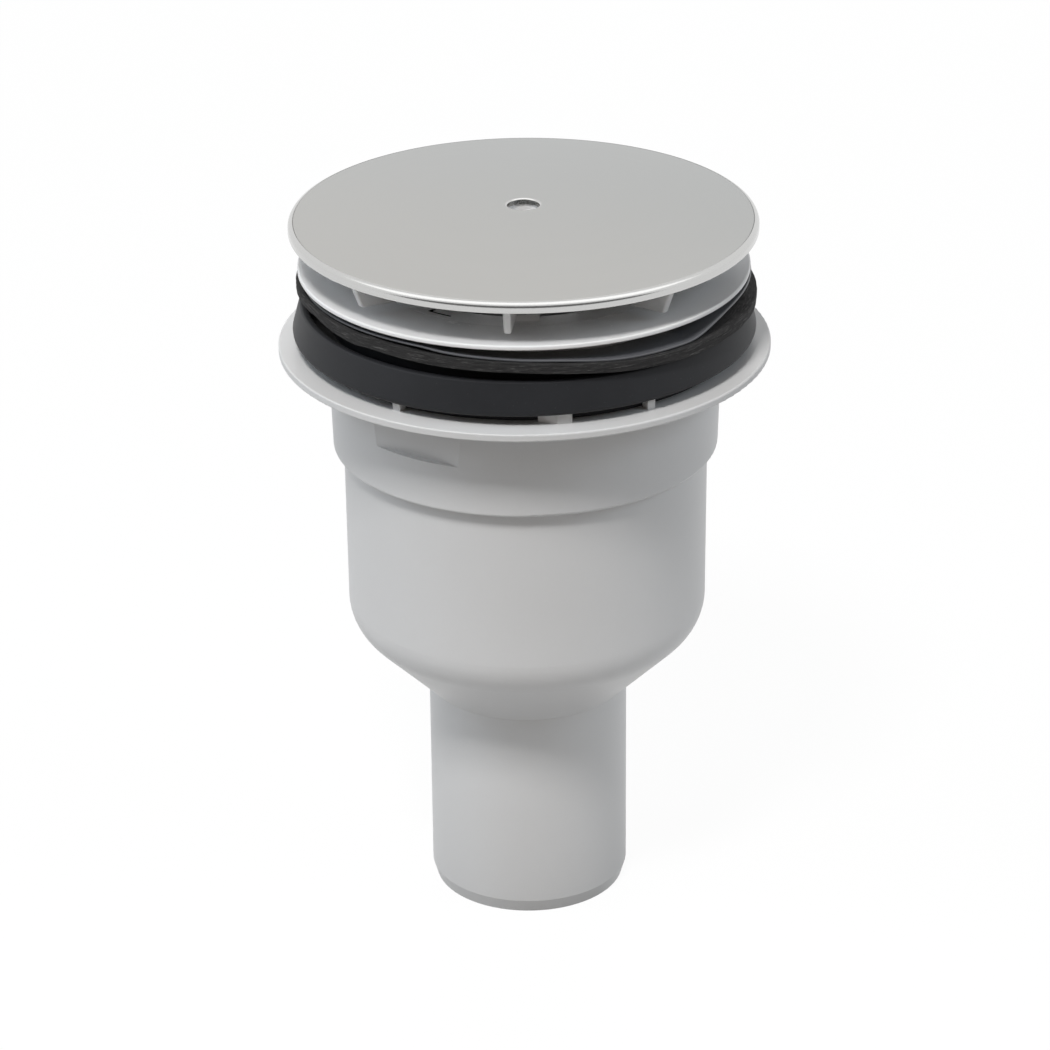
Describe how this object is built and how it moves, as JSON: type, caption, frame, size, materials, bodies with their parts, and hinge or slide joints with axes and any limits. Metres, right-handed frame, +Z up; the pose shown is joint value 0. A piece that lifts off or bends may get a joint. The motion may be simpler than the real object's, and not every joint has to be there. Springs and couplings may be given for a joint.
{
  "type": "shower trap",
  "caption": "Upright shower trap: flanged bowl with a plain vertical outlet spigot, dark tray seals, a dished upper flange and a round domed metal cover on radial fins.",
  "frame": {"origin": "centre of the open end of the outlet spigot", "axes": "+Z up the trap's axis, from the spigot to the cover; -Y towards the pictured front"},
  "size_m": [0.12, 0.12, 0.1826],
  "materials": {
    "body_plastic": "satin moulded",
    "seal_rubber": "matt",
    "foam_rubber": "fibrous cut edge",
    "lip_rubber": "smooth",
    "flange_plastic": "glossy",
    "insert_plastic": "glossy",
    "ring_rubber": "smooth",
    "cup_plastic": "satin moulded",
    "carrier_plastic": "satin moulded",
    "cover_metal": "satin plated with a bright rim"
  },
  "bodies": {
    "root": {"trap_body": "body_plastic", "profile_seal": "seal_rubber", "foam_gasket": "foam_rubber", "lip_seal": "lip_rubber", "upper_flange": "flange_plastic", "dip_tube": "insert_plastic", "collar_ring": "ring_rubber", "trap_cup": "cup_plastic", "cover_carrier": "carrier_plastic", "cover_plate": "cover_metal"}
  },
  "joints": []
}
